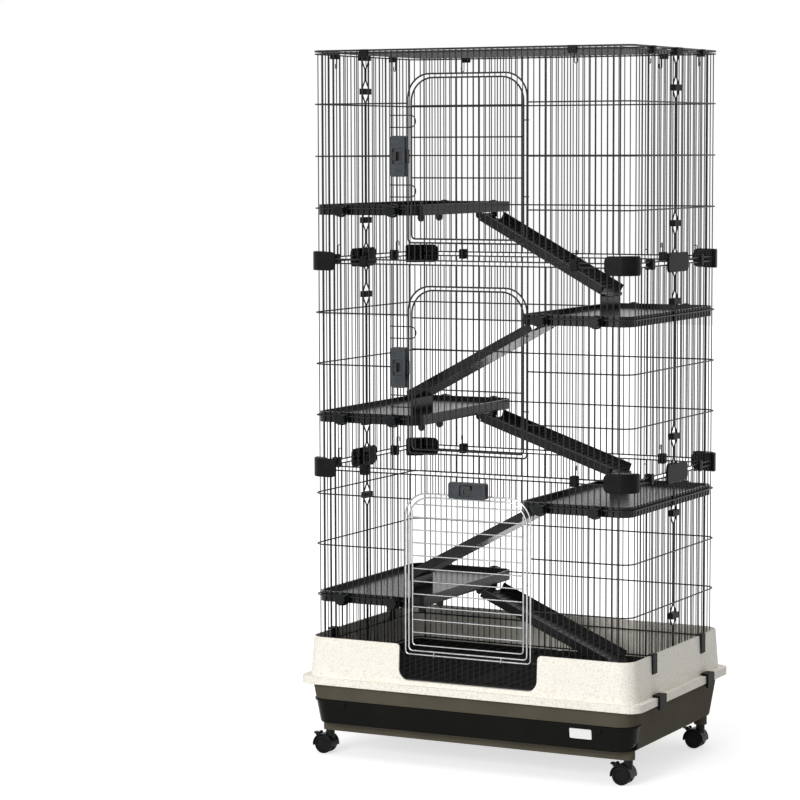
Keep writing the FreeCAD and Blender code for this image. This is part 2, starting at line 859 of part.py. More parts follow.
def roof_clip(half, inner_half):
    """Holds the roof's frame down on the top hoop, with its web between the two."""
    drop = roof_clip_drop / 2
    middle = overall_height - drop
    web_z = top_hoop_z + hoop_r + weld_gap + upright_r - middle
    face = roof_frame_r + wire_play
    shape = clamp(half, inner_half, drop, clip_wall, roof_clip_corner,
                  web_z, roof_web, face, roof_clip_inside)
    return shape, middle


def make_roof_clips():
    front, z = roof_clip(roof_clip_half, roof_clip_inner_half)
    side, _ = roof_clip(roof_side_clip_half, roof_side_clip_half)
    middle, _ = roof_clip(roof_mid_clip_half, roof_mid_clip_half)
    front = front.fuse(roof_hook())
    side = side.fuse(roof_hook())
    solids = []
    for name, along in wall_places():
        if name in ("front", "back"):
            solids.append(set_on_wall(front, name, between_wires(along), z))
        else:
            solids.append(set_on_wall(side, name, along, z))
    return solids + [set_on_wall(middle, name, 0, z) for name in ("left", "right")]


# Roof

roof_wire_z = top_hoop_z + hoop_r + weld_gap + upright_r
roof_frame_z = roof_wire_z + upright_r + weld_gap + roof_frame_r


def make_roof_wires():
    end = cage_half_y
    return [rod(V(x, -end, roof_wire_z), V(x, end, roof_wire_z), upright_r) for x in front_xs]


def make_roof_frame():
    z = roof_frame_z
    hx, hy = cage_half_x, cage_half_y
    path = rounded_outline(hx, hy, corner_bend, z)
    ring = Part.Wire(Part.makeCircle(roof_frame_r, V(hx, -hy + corner_bend, z), Y))
    solids = [path.makePipeShell([ring], True, False)]
    bar_z = roof_wire_z + upright_r + weld_gap + hoop_r
    clip_reach = hx - inside_face - wire_play - roof_clip_inside - seat_gap
    for i in range(roof_bars):
        y = -hy + 2 * hy * (i + 1) / (roof_bars + 1)
        reach = clip_reach if abs(y) < roof_mid_clip_half else hx - roof_frame_r - weld_gap
        solids.append(rod(V(-reach, y, bar_z), V(reach, y, bar_z), hoop_r))
    return solids


# Platforms, made for the left wall; the right ones are turned half round

platform_outer = cage_half_x - inside_face - platform_play
platform_half_y = cage_half_y - inside_face - platform_play


def platform_levels(hoop_z):
    top = hoop_z + platform_above_hoop
    return top - platform_height, top - platform_pocket, top


def lug(y, bottom):
    axis_x = -platform_inner - lug_in
    axis_z = bottom - lug_drop
    plate = box(axis_x - lug_r, axis_x + lug_r, y - lug_wall / 2, y + lug_wall / 2, axis_z, bottom)
    return plate.fuse(Part.makeCylinder(lug_r, lug_wall, V(axis_x, y - lug_wall / 2, axis_z), Y))


def platform(hoop_z):
    bottom, floor, top = platform_levels(hoop_z)
    half_x = (platform_outer - platform_inner) / 2
    middle_x = -(platform_outer + platform_inner) / 2
    body = rounded_block(half_x, platform_half_y, platform_corner, bottom, top)
    pocket = rounded_block(half_x - platform_rim, platform_half_y - platform_rim,
                           platform_corner - platform_rim, floor, top + overrun)
    under = rounded_block(half_x - platform_skin, platform_half_y - platform_skin,
                          platform_corner - platform_skin, bottom - overrun, floor - platform_floor)
    body = body.cut(pocket).cut(under)
    body.translate(V(middle_x, 0, 0))
    for y in ramp_lug_ys + spare_lug_ys:
        body = body.fuse(lug(y, bottom + overrun))
        body = body.fuse(lug_bridge(y, bottom, floor - platform_floor))
    axis_x = -platform_inner - lug_in
    first, last = ramp_lug_ys
    bore = Part.makeCylinder(ramp_pin_r + pin_gap, last - first + 2 * lug_wall,
                             V(axis_x, first - lug_wall, bottom - lug_drop), Y)
    body = body.cut(bore)
    for x, y_sign in knob_places():
        body = body.cut(bolt_hole(x, y_sign, hoop_z))
    return body.removeSplitter()


def lug_bridge(y, bottom, ceiling):
    """Fills the hollow over a lug, so the lug hangs from the tray's floor."""
    axis_x = -platform_inner - lug_in
    return box(axis_x - lug_r, axis_x + lug_r, y - lug_wall / 2, y + lug_wall / 2, bottom, ceiling + overrun)


def knob_places():
    return [(-between_wires(x), sign) for sign in (-1, 1) for x in platform_knobs]


def bolt_hole(x, y_sign, hoop_z):
    start = V(x, y_sign * (platform_half_y + overrun), hoop_z - knob_drop)
    end = V(x, y_sign * (platform_half_y - platform_rim - bolt_reach - overrun), hoop_z - knob_drop)
    return rod(start, end, knob_bolt_r + knob_hole_play)


def platform_knob(x, y_sign, hoop_z):
    z = hoop_z - knob_drop
    face = y_sign * (cage_half_y + hoop_r + seat_gap)
    out = y_sign * (cage_half_y + hoop_r + seat_gap + knob_length)
    inner = y_sign * (platform_half_y - platform_rim - bolt_reach)
    head = rod(V(x, face, z), V(x, out, z), knob_r)
    rims = [e for e in head.Edges if e.Curve.TypeId == "Part::GeomCircle"]
    head = head.makeFillet(knob_fillet, rims)
    for i in range(knob_flutes):
        turn = 2 * math.pi * (i + 0.5) / knob_flutes
        spot = V(x + knob_r * math.cos(turn), face - y_sign * overrun, z + knob_r * math.sin(turn))
        spot_end = V(spot.x, out + y_sign * overrun, spot.z)
        head = head.cut(rod(spot, spot_end, knob_flute_r))
    collar = rod(V(x, face, z), V(x, face + y_sign * knob_collar_length, z), knob_collar_r)
    bolt = rod(V(x, face + y_sign * overrun, z), V(x, inner, z), knob_bolt_r)
    return head.fuse(collar).fuse(bolt)


def make_knobs():
    solids = []
    for _, side, hoop_z in platform_hoops:
        for x, y_sign in knob_places():
            knob = platform_knob(x, y_sign, hoop_z)
            solids.append(turned(knob) if side > 0 else knob)
    return solids


# Ramps, made running to the right from a left platform; the others are turned half round

mat_top = lip_top + seat_gap + mat_thick


def ramp_slope(hoop_z, landing):
    """Angle below level at which the ramp's foot stands on its landing."""
    bottom = platform_levels(hoop_z)[0]
    axis_z = bottom - lug_drop
    foot = low_ramp_foot if landing == mat_top else ramp_foot
    drop = axis_z - landing - seat_gap - foot
    return math.degrees(math.asin(drop / ramp_length)), axis_z


def tread_profile():
    """Side view of the channel's floor with its low treads, along X."""
    top = -ramp_below_axis
    points = [V(ramp_start, 0, top - ramp_wall), V(ramp_start, 0, top)]
    count = int((ramp_length - ramp_start) / ramp_tread_pitch)
    for i in range(count):
        x = ramp_start + (i + 0.5) * ramp_tread_pitch
        points += [V(x, 0, top), V(x, 0, top + ramp_tread)]
        points += [V(x + ramp_tread_width, 0, top + ramp_tread), V(x + ramp_tread_width, 0, top)]
    points += [V(ramp_length, 0, top), V(ramp_length, 0, top - ramp_wall)]
    return points


def ramp_channel():
    outline = Part.makePolygon(tread_profile() + [tread_profile()[0]])
    floor = Part.Face(outline).extrude(V(0, ramp_back_y - ramp_front_y, 0))
    floor.translate(V(0, ramp_front_y, 0))
    low = -ramp_below_axis - ramp_wall
    high = -ramp_below_axis + ramp_rim
    near = box(ramp_start, ramp_length, ramp_front_y, ramp_front_y + ramp_wall, low, high)
    far = box(ramp_start, ramp_length, ramp_back_y - ramp_wall, ramp_back_y, low, high)
    channel = floor.fuse(near).fuse(far)
    half_y = (ramp_back_y - ramp_front_y) / 2
    keep = rounded_block(ramp_length - ramp_start, half_y, ramp_end_radius, low - overrun, high + overrun)
    keep.translate(V(ramp_start, (ramp_front_y + ramp_back_y) / 2, 0))
    return channel.common(keep)


def ramp_hinge():
    """Barrel between the platform's lugs, with a neck to the channel and a pin into each lug."""
    first = ramp_lug_ys[0] + lug_wall / 2 + seat_gap
    last = ramp_lug_ys[1] - lug_wall / 2 - seat_gap
    barrel = Part.makeCylinder(barrel_r, last - first, V(0, first, 0), Y)
    pin_start = first - lug_wall
    pin = Part.makeCylinder(ramp_pin_r, last - first + 2 * lug_wall, V(0, pin_start, 0), Y)
    low = -ramp_below_axis - ramp_wall
    neck = box(0, ramp_start + overrun, first, last, low, -ramp_below_axis)
    return barrel.fuse(pin).fuse(neck)


def ramp_foot_plate(slope, drop):
    """Upright plate under the ramp's lower end, in the ramp's own tilted frame."""
    width0 = ramp_front_y + ramp_foot_inset
    width1 = ramp_back_y - ramp_foot_inset
    plate = box(-ramp_foot_wall, 0, width0, width1, -drop, ramp_wall / 2)
    plate.rotate(V(0, 0, 0), Y, -slope)
    plate.translate(V(ramp_length - ramp_end_radius / 2, 0, -ramp_below_axis - ramp_wall))
    return plate


def ramp(hoop_z, landing, side):
    slope, axis_z = ramp_slope(hoop_z, landing)
    end_x = ramp_length - ramp_end_radius / 2
    end_z = -ramp_below_axis - ramp_wall
    low_z = axis_z - end_x * math.sin(math.radians(slope)) + end_z * math.cos(math.radians(slope))
    shape = ramp_channel().fuse(ramp_hinge()).fuse(ramp_foot_plate(slope, low_z - landing - seat_gap))
    shape = shape.removeSplitter()
    shape.rotate(V(0, 0, 0), Y, slope)
    shape.translate(V(-platform_inner - lug_in, 0, axis_z))
    return turned(shape) if side > 0 else shape


def make_ramps():
    landing = mat_top
    for name, side, hoop_z in platform_hoops:
        write("ramp_" + name, [ramp(hoop_z, landing, side)])
        slope, axis_z = ramp_slope(hoop_z, landing)
        axis_x = side * (platform_inner + lug_in)
        print("ramp", name, "slope", round(slope, 2), "axis", axis_x, round(axis_z, 2))
        landing = platform_levels(hoop_z)[1]


# Base: the skirt round the foot of the wires

def skirt_half(z, inset):
    share = (skirt_top - z) / (skirt_top - flange_top)
    return skirt_top_half_x + skirt_flare * share - inset, skirt_top_half_y + skirt_flare * share - inset


def skirt_loft(z0, z1, inset):
    low_x, low_y = skirt_half(z0, inset)
    top_x, top_y = skirt_half(z1, inset)
    return tapered_block(low_x, low_y, z0, top_x, top_y, z1, skirt_corner - inset)


def make_skirt():
    base = flange_top - flange_wall
    body = skirt_loft(base, skirt_top, 0)
    flange = rounded_block(flange_half_x, flange_half_y, flange_corner, flange_bottom, flange_top)
    under = rounded_block(flange_half_x - flange_wall, flange_half_y - flange_wall,
                          flange_corner - flange_wall, flange_bottom - overrun, base)
    body = body.fuse(flange.cut(under))
    wall_x, wall_y = skirt_half(step_top, skirt_wall)
    inner = skirt_loft(step_top, skirt_top + overrun, skirt_wall)
    body = body.cut(inner)
    mat_well = rounded_block(wall_x - step_width, wall_y - step_width, mat_corner,
                             lip_top, step_top + overrun)
    opening = rounded_block(wall_x - step_width - lip_width, wall_y - step_width - lip_width,
                            mat_corner, base - overrun, lip_top + overrun)
    body = body.cut(mat_well).cut(opening)
    bar = box(-floor_bar_half, floor_bar_half, -wall_y + step_width, wall_y - step_width, base, lip_top)
    body = body.fuse(bar).cut(skirt_cutout())
    return body.removeSplitter()


def skirt_cutout():
    """The dip in the skirt's front before the lower door, rounded off at its lower and upper corners."""
    depth = skirt_flare + skirt_wall + 2 * overrun
    y = -skirt_half(cutout_floor, 0)[1] - overrun
    left = dip_side(-1, y)
    right = dip_side(1, y)
    low = Part.LineSegment(left[-1], right[-1]).toShape()
    top = Part.LineSegment(right[0], left[0]).toShape()
    edges = dip_edges(left, -1, y) + [low] + dip_edges(right, 1, y) + [top]
    return Part.Face(Part.Wire(Part.sortEdges(edges)[0])).extrude(V(0, depth, 0))


def dip_side(side, y):
    """Points down one side of the dip, from above the rim to its floor."""
    lip = cutout_shift + side * (cutout_half + cutout_lip_radius)
    wall = cutout_shift + side * cutout_half
    foot = cutout_shift + side * (cutout_half - cutout_radius)
    return (V(lip, y, cutout_top + overrun), V(lip, y, cutout_top),
            V(wall, y, cutout_top - cutout_lip_radius),
            V(wall, y, cutout_floor + cutout_radius), V(foot, y, cutout_floor))


def dip_edges(points, side, y):
    above, rim, neck, heel, foot = points
    bend = 1 - math.sqrt(0.5)
    rim_x = cutout_shift + side * (cutout_half + cutout_lip_radius * bend)
    heel_x = cutout_shift + side * (cutout_half - cutout_radius * bend)
    rim_mid = V(rim_x, y, cutout_top - cutout_lip_radius * bend)
    heel_mid = V(heel_x, y, cutout_floor + cutout_radius * bend)
    return [
        Part.LineSegment(above, rim).toShape(),
        Part.Arc(rim, rim_mid, neck).toShape(),
        Part.LineSegment(neck, heel).toShape(),
        Part.Arc(heel, heel_mid, foot).toShape(),
    ]


# Base: pan with rails and caster posts

pan_top = flange_top - flange_wall - seat_gap
tray_floor = pan_bottom + pan_wall


def pan_half(z, inset):
    share = (z - pan_bottom) / (pan_top - pan_bottom)
    half_x = pan_low_half_x + (pan_top_half_x - pan_low_half_x) * share - inset
    return half_x, pan_low_half_y + (pan_top_half_y - pan_low_half_y) * share - inset


def pan_loft(z0, z1, inset):
    low_x, low_y = pan_half(z0, inset)
    top_x, top_y = pan_half(z1, inset)
    return tapered_block(low_x, low_y, z0, top_x, top_y, z1, pan_corner - inset)


def drawer_front_plane():
    return -pan_low_half_y + drawer_front_depth


def round_bottom(shape, z, radius):
    low = [e for e in shape.Edges if all(abs(v.Point.z - z) < wire_play for v in e.Vertexes)]
    return shape.makeFillet(radius, low)


def make_pan():
    body = round_bottom(pan_loft(pan_bottom, pan_top, 0), pan_bottom, pan_edge_radius)
    inside = pan_loft(tray_floor, pan_top + overrun, pan_wall)
    body = body.cut(round_bottom(inside, tray_floor, pan_inner_radius))
    wide = pan_top_half_x + overrun
    mouth = box(-wide, wide, -pan_top_half_y - overrun, drawer_front_plane() + drawer_gap,
                tray_floor, drawer_top + drawer_gap)
    body = body.cut(mouth)
    rail_y = caster_y + post_r - rail_thick / 2
    for sign in (-1, 1):
        y0 = sign * rail_y - rail_thick / 2
        body = body.fuse(box(-caster_x, caster_x, y0, y0 + rail_thick, rail_bottom, pan_bottom + overrun))
    for sx in (-1, 1):
        for sy in (-1, 1):
            foot = V(sx * caster_x, sy * caster_y, rail_bottom)
            body = body.fuse(Part.makeCylinder(post_r, tray_floor - rail_bottom - seat_gap, foot, Z))
    for sx in (-1, 1):
        for sy in (-1, 1):
            foot = V(sx * caster_x, sy * caster_y, rail_bottom - overrun)
            depth = stem_length + 2 * overrun
            body = body.cut(Part.makeCylinder(stem_r + pin_gap, depth, foot, Z))
    return body.removeSplitter()


def make_drawer():
    top_x, top_y = pan_half(drawer_top, 0)
    low_x, low_y = pan_half(drawer_bottom, 0)
    front = tapered_block(low_x, low_y, drawer_bottom, top_x, top_y, drawer_top, pan_corner)
    plane = drawer_front_plane()
    wide = pan_top_half_x + overrun
    deep = pan_top_half_y + overrun
    front = front.common(box(-wide, wide, -deep, plane, drawer_bottom, drawer_top))
    front = front.common(drawer_front_outline(low_x, top_x))
    hollow = tapered_block(low_x - drawer_wall, low_y - drawer_wall, drawer_bottom + drawer_wall,
                           top_x - drawer_wall, top_y - drawer_wall, drawer_top + overrun,
                           pan_corner - drawer_wall)
    tray_x = low_x - pan_wall - tray_side_gap
    tray_low = tray_floor + seat_gap
    tray_back = pan_low_half_y - pan_wall - tray_back_gap
    tray = tray_block(tray_x, plane, tray_back, tray_low, tray_low + tray_height, 0)
    inside = tray_block(tray_x, plane, tray_back, tray_low + drawer_wall, tray_low + tray_height + overrun,
                        drawer_wall)
    body = front.cut(hollow).fuse(tray.cut(inside))
    body = body.cut(inside)
    lip_low = drawer_top - drawer_lip_height
    lip = tapered_block(top_x + drawer_lip, top_y + drawer_lip, lip_low,
                        top_x + drawer_lip, top_y + drawer_lip, drawer_top, pan_corner + drawer_lip)
    lip = lip.cut(tapered_block(top_x - drawer_wall, top_y - drawer_wall, lip_low - overrun,
                                top_x - drawer_wall, top_y - drawer_wall, drawer_top + overrun,
                                pan_corner - drawer_wall))
    lip = lip.common(box(-wide - drawer_lip, wide + drawer_lip, -deep - drawer_lip, plane,
                         lip_low, drawer_top))
    body = body.fuse(lip)
    for side in (-1, 1):
        body = body.fuse(finger_tab(side))
    return body.removeSplitter()


def tray_block(half_x, front_y, back_y, z0, z1, inset):
    """The litter tray behind the drawer's front, straight sided."""
    half_y = (back_y - front_y) / 2 + tray_corner
    block = rounded_block(half_x - inset, half_y - inset, tray_corner - inset, z0, z1)
    block.translate(V(0, back_y - half_y, 0))
    return block.common(box(-half_x, half_x, front_y - drawer_wall, back_y, z0, z1))


def drawer_front_outline(low_x, top_x):
    """Front view of the drawer's front, with its lower corners rounded."""
    half = top_x + overrun
    front_y = -pan_top_half_y - overrun
    back_y = drawer_front_plane() + overrun
    block = box(-half, half, front_y, back_y, drawer_bottom, drawer_top)
    r = drawer_lower_radius
    for side in (-1, 1):
        corner_x = side * low_x
        middle_x = corner_x - side * r
        square = box(min(corner_x, middle_x), max(corner_x, middle_x), front_y, back_y,
                     drawer_bottom, drawer_bottom + r)
        round_start = V(middle_x, front_y - overrun, drawer_bottom + r)
        round_part = Part.makeCylinder(r, 2 * pan_top_half_y, round_start, Y)
        block = block.cut(square.cut(round_part))
        outer_x = corner_x + side * r
        outside = box(min(corner_x, outer_x), max(corner_x, outer_x), front_y, back_y,
                      drawer_bottom - overrun, drawer_bottom + r)
        block = block.cut(outside)
    return block


def finger_tab(side):
    z = drawer_top - drawer_lip_height - finger_tab_height
    y = -pan_half(z + finger_tab_height / 2, 0)[1]
    x = side * finger_tab_x
    tab = box(x - finger_tab_width / 2, x + finger_tab_width / 2, y - finger_tab_proud, y + drawer_wall / 2,
              z, z + finger_tab_height)
    return fillet_along(tab, Y, finger_tab_proud)


# Mats

def make_mat(side):
    wall_x, wall_y = skirt_half(step_top, skirt_wall)
    reach_x = wall_x - step_width - mat_play
    half_y = wall_y - step_width - mat_play
    half_x = (reach_x - mat_play / 2) / 2
    z = lip_top + seat_gap
    outline = rounded_outline(half_x, half_y, mat_corner, z)
    holes = []
    pitch_x = 2 * (half_x - mat_margin) / mat_rows
    pitch_y = 2 * (half_y - mat_margin) / mat_columns
    for row in range(mat_rows):
        for column in range(mat_columns):
            x = -half_x + mat_margin + (row + 0.5) * pitch_x
            y = -half_y + mat_margin + (column + 0.5) * pitch_y
            holes.append(slot_outline(x, y, pitch_x * slot_length_share, z))
    mat = Part.Face([outline] + holes).extrude(V(0, 0, mat_thick))
    mat.translate(V(side * (half_x + mat_play / 2), 0, 0))
    return mat


def slot_outline(x, y, length, z):
    r = slot_width / 2
    run = length / 2 - r
    edges = [
        Part.LineSegment(V(x - run, y - r, z), V(x + run, y - r, z)).toShape(),
        Part.Arc(V(x + run, y - r, z), V(x + run + r, y, z), V(x + run, y + r, z)).toShape(),
        Part.LineSegment(V(x + run, y + r, z), V(x - run, y + r, z)).toShape(),
        Part.Arc(V(x - run, y + r, z), V(x - run - r, y, z), V(x - run, y - r, z)).toShape(),
    ]
    return Part.Wire(edges)


# Clips on the base

def flange_clip(side, y):
    """Grips the edge of the skirt's flange and reaches under it to the pan."""
    inner = flange_half_x + seat_gap
    outer = inner + flange_clip_wall
    low = flange_bottom - flange_clip_below
    high = flange_top + seat_gap + flange_clip_wall
    under_z = flange_bottom - seat_gap
    y0 = y - base_clip_half
    y1 = y + base_clip_half
    plate = box(inner, outer, y0, y1, low, high)
    top = box(inner - flange_clip_lip, outer, y0, y1, flange_top + seat_gap, high)
    bottom = box(pan_half(under_z, 0)[0] + seat_gap, outer, y0, y1, under_z - flange_clip_wall, under_z)
    clip = plate.fuse(top).fuse(bottom).removeSplitter()
    clip = fillet_along(clip, X, flange_clip_wall * clamp_fillet_share)
    return clip if side > 0 else mirrored_x(clip)


def mirrored_x(shape):
    return shape.mirror(V(0, 0, 0), X)


def wire_clip(side, y):
    """Hangs over the skirt's rim and holds the wire wall against it."""
    low = skirt_top - wire_clip_drop
    outer_face = skirt_half(low, 0)[0] + seat_gap
    outer = outer_face + wire_clip_wall
    top = skirt_top + seat_gap
    inner_near = cage_half_x + hoop_r + wire_play
    inner_far = skirt_half(skirt_top, skirt_wall)[0] - seat_gap
    leg = box(outer_face, outer, y - wire_clip_half, y + wire_clip_half, low, top + wire_clip_wall)
    bridge = box(inner_near, outer, y - wire_clip_half, y + wire_clip_half, top, top + wire_clip_wall)
    hook = box(inner_near, inner_far, y - wire_clip_half, y + wire_clip_half,
               tiers[2]["hoops"][4] - hoop_r, top + wire_clip_wall)
    clip = leg.fuse(bridge).fuse(hook).removeSplitter()
    clip = fillet_along(clip, X, wire_clip_wall * clamp_fillet_share)
    return clip if side > 0 else mirrored_x(clip)


# Casters, made at the origin with the swivel axis on Z and the wheel trailing to -X

housing_top = rail_bottom - caster_top_gap


def wheel_pair():
    """Two discs on one axle."""
    start = web_half_y + web_side_gap
    solids = None
    for side in (-1, 1):
        disc = rod(V(0, side * start, 0), V(0, side * (start + wheel_width), 0), wheel_r)
        rims = [e for e in disc.Edges if e.Curve.TypeId == "Part::GeomCircle"]
        disc = disc.makeFillet(wheel_fillet, rims)
        outer = side * (start + wheel_width)
        dish_r = wheel_r * wheel_dish_share
        dish = rod(V(0, outer - side * wheel_dish, 0), V(0, outer + side * overrun, 0), dish_r)
        disc = disc.cut(dish)
        solids = disc if solids is None else solids.fuse(disc)
    axle = rod(V(0, -start - wheel_fillet, 0), V(0, start + wheel_fillet, 0), axle_r)
    wheel = solids.fuse(axle).removeSplitter()
    wheel.translate(V(-caster_trail, 0, wheel_r))
    return wheel


def lever_axis():
    reach = wheel_r + hood_gap + hood_wall + lever_barrel_r + seat_gap
    turn = math.radians(lever_angle)
    return -caster_trail + reach * math.cos(turn), wheel_r + reach * math.sin(turn)


def caster_housing():
    inner = wheel_r + hood_gap
    outer = inner + hood_wall
    axis = V(-caster_trail, -hood_half_y, wheel_r)
    hood = Part.makeCylinder(outer, 2 * hood_half_y, axis, Y)
    hood = hood.cut(Part.makeCylinder(inner, 2 * hood_half_y, axis, Y))
    low = wheel_r - inner * math.sin(math.radians(hood_open_angle))
    wide = outer + overrun
    hood = hood.cut(box(-caster_trail - wide, -caster_trail + wide, -wide, wide, -wide, low))
    web = Part.makeCylinder(inner + hood_wall / 2, 2 * web_half_y, V(-caster_trail, -web_half_y, wheel_r), Y)
    web = web.cut(box(-caster_trail - outer, -caster_trail + outer, -hood_half_y, hood_half_y,
                      -outer, wheel_r - axle_hub_r))
    hub = Part.makeCylinder(swivel_hub_r, housing_top - wheel_r, V(0, 0, wheel_r), Z)
    for side in (-1, 1):
        start = V(-caster_trail, side * web_half_y, wheel_r)
        hub = hub.cut(Part.makeCylinder(inner, hood_half_y, start, V(0, side, 0)))
    stem = Part.makeCylinder(stem_r, stem_length, V(0, 0, housing_top - overrun), Z)
    body = hood.fuse(web).fuse(hub).fuse(stem)
    ear_x, ear_z = lever_axis()
    for side in (-1, 1):
        y0 = side * (lever_half_y + seat_gap)
        y1 = y0 + side * ear_wall
        ear = rod(V(ear_x, y0, ear_z), V(ear_x, y1, ear_z), ear_r)
        ear = ear.cut(Part.makeCylinder(inner, 2 * hood_half_y, axis, Y))
        body = body.fuse(ear)
    ear_axis = V(ear_x, -hood_half_y, ear_z)
    body = body.cut(Part.makeCylinder(lever_pin_r + pin_gap, 2 * hood_half_y, ear_axis, Y))
    body = body.cut(Part.makeCylinder(axle_r + pin_gap, 2 * hood_half_y, axis, Y))
    return body.removeSplitter()


def brake_lever():
    x, z = lever_axis()
    barrel = Part.makeCylinder(lever_barrel_r, 2 * lever_half_y, V(x, -lever_half_y, z), Y)
    reach = lever_half_y + seat_gap + ear_wall
    pin = Part.makeCylinder(lever_pin_r, 2 * reach, V(x, -reach, z), Y)
    arm = box(x - lever_length, x, -lever_half_y, lever_half_y, z - lever_thick / 2, z + lever_thick / 2)
    arm = fillet_along(arm, Z, lever_half_y / 2)
    arm.rotate(V(x, 0, z), Y, lever_rise)
    return barrel.fuse(pin).fuse(arm).removeSplitter()


def make_casters():
    housing = caster_housing()
    wheel = wheel_pair()
    lever = brake_lever()
    places = (("front_left", -1, -1), ("front_right", 1, -1), ("back_left", -1, 1), ("back_right", 1, 1))
    for name, sx, sy in places:
        for part_name, shape in (("fork", housing), ("wheel", wheel), ("brake", lever)):
            placed = shape.copy()
            placed.translate(V(sx * caster_x, sy * caster_y, 0))
            write("caster_" + part_name + "_" + name, [placed])


# Everything

def main():
    write("base_pan", [make_pan()])
    write("skirt", [make_skirt()])
    write("litter_drawer", [make_drawer()])
    write("mat_left", [make_mat(-1)])
    write("mat_right", [make_mat(1)])
    write("flange_clips", [flange_clip(s, y) for s in (-1, 1) for y in base_clip_ys])
    write("wire_clips", [wire_clip(s, y) for s in (-1, 1) for y in base_clip_ys])
    make_casters()
    for tier in tiers:
        name = tier["name"]
        write("front_uprights_" + name, tier_uprights(tier, False))
        write("back_uprights_" + name, tier_uprights(tier, True))
        write("front_hoops_" + name, tier_hoop_wires(tier, False))
        write("back_hoops_" + name, tier_hoop_wires(tier, True))
        write("door_opening_" + name, opening_frame(tier, latch_height(tier)))
        write("door_" + name, lower_door(tier) if name == "lower" else upper_door(tier))
        reach = low_slider_reach if name == "lower" else slider_reach
        write("latch_slider_" + name, [place_latch(latch_slider(reach), tier)])
    write("latch_cases", [place_latch(latch_case(), tier) for tier in tiers])
    write("roof_wires", make_roof_wires())
    write("roof_frame", make_roof_frame())
    write("roof_clips", make_roof_clips())
    write("corner_connectors", make_corner_connectors())
    write("side_connectors", make_side_connectors())
    write("panel_clips", make_panel_clips())
    write("side_buckles", [buckle(s, z) for tier in tiers for z in tier["buckles"] for s in (-1, 1)])
    for name, side, hoop_z in platform_hoops:
        shape = platform(hoop_z)
        write("platform_" + name, [turned(shape) if side > 0 else shape])
    write("platform_knobs", make_knobs())
    make_ramps()


main()
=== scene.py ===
import math

import bmesh
import bpy
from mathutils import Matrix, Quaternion, Vector


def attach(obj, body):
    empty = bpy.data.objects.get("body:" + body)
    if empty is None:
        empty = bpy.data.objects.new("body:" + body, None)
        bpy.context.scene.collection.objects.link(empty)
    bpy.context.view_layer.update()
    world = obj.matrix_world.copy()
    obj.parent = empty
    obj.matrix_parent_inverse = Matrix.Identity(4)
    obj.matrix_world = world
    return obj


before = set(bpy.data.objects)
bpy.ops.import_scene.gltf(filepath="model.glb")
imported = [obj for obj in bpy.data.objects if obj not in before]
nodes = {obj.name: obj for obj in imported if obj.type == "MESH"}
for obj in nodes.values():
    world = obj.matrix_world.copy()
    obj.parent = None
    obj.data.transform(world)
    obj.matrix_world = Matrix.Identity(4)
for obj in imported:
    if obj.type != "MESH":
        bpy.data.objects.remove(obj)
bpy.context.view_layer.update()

scene = bpy.context.scene

# The bare sticker on the drawer, in metres
STICKER_X = (0.236, 0.285)
STICKER_Z = (0.0955, 0.1165)
STICKER_THICK = 0.0003
STICKER_GAP = 0.00005
STICKER_CORNER = 0.0025
STICKER_CORNER_STEPS = 6
FACE_LOW_Y = 0.240           # the drawer's face leans out with the pan's wall
FACE_LOW_Z = 0.070
FACE_LEAN = 0.014
FACE_RISE = 0.1027

# Floor
FLOOR_HALF = 14.0
FLOOR_Z = -0.0002
FLOOR_GREY = 0.6
GLOW_NEAR = 0.45             # the floor's own light rises from here
GLOW_FAR = 1.6               # to here, measured from the middle of the cage
GLOW_NEAR_LEVEL = 0.66
GLOW_FAR_LEVEL = 0.95

# Light: name, place, target, size, power in watts
LAMPS = (
    ("key", (-0.6, -4.7, 2.1), (0, 0, 0.6), (2.4, 2.0), 126),
    ("front", (-0.6, -4.8, 0.6), (0, 0, 0.2), (2.2, 1.0), 28),
    ("top", (0.4, -0.6, 4.6), (0, 0, 0.8), (3.0, 3.0), 60),
)
WORLD_LEVEL = 0.45
PLAIN_WHITE = 1.0

# Camera, as fitted to the photograph
CAMERA_AZIMUTH = 27.378
CAMERA_PITCH = 5.082
CAMERA_ROLL = -0.174
CAMERA_LENS = 127.743
CAMERA_SENSOR = 36.0
CAMERA_CLIP_END = 60.0
CAMERA_PLACE = (2.57557, -5.51689, 1.30635)

WHITE = (1, 1, 1)
BLACK = (0, 0, 0)

# Input and output numbers of a Mix node's colours
MIX_A = 6
MIX_B = 7
MIX_RESULT = 2


# Material building blocks

def new_material(name, gloss=0.2):
    mat = bpy.data.materials.new(name)
    mat.use_nodes = True
    tree = mat.node_tree
    tree.nodes.clear()
    out = tree.nodes.new("ShaderNodeOutputMaterial")
    shader = tree.nodes.new("ShaderNodeBsdfPrincipled")
    shader.inputs["Specular IOR Level"].default_value = gloss
    tree.links.new(shader.outputs["BSDF"], out.inputs["Surface"])
    place = tree.nodes.new("ShaderNodeTexCoord")
    return mat, tree, shader, place.outputs["Object"]


def noise(tree, place, scale, detail=3.0, rough=0.55):
    n = tree.nodes.new("ShaderNodeTexNoise")
    n.inputs["Scale"].default_value = scale
    n.inputs["Detail"].default_value = detail
    n.inputs["Roughness"].default_value = rough
    tree.links.new(place, n.inputs["Vector"])
    return n.outputs["Fac"]


def ramp(tree, value, stops):
    r = tree.nodes.new("ShaderNodeValToRGB")
    elements = r.color_ramp.elements
    while len(elements) > len(stops):
        elements.remove(elements[-1])
    while len(elements) < len(stops):
        elements.new(1.0)
    for element, (where, colour) in zip(elements, stops):
        element.position = where
        element.color = (*colour, 1.0)
    tree.links.new(value, r.inputs["Fac"])
    return r.outputs["Color"]


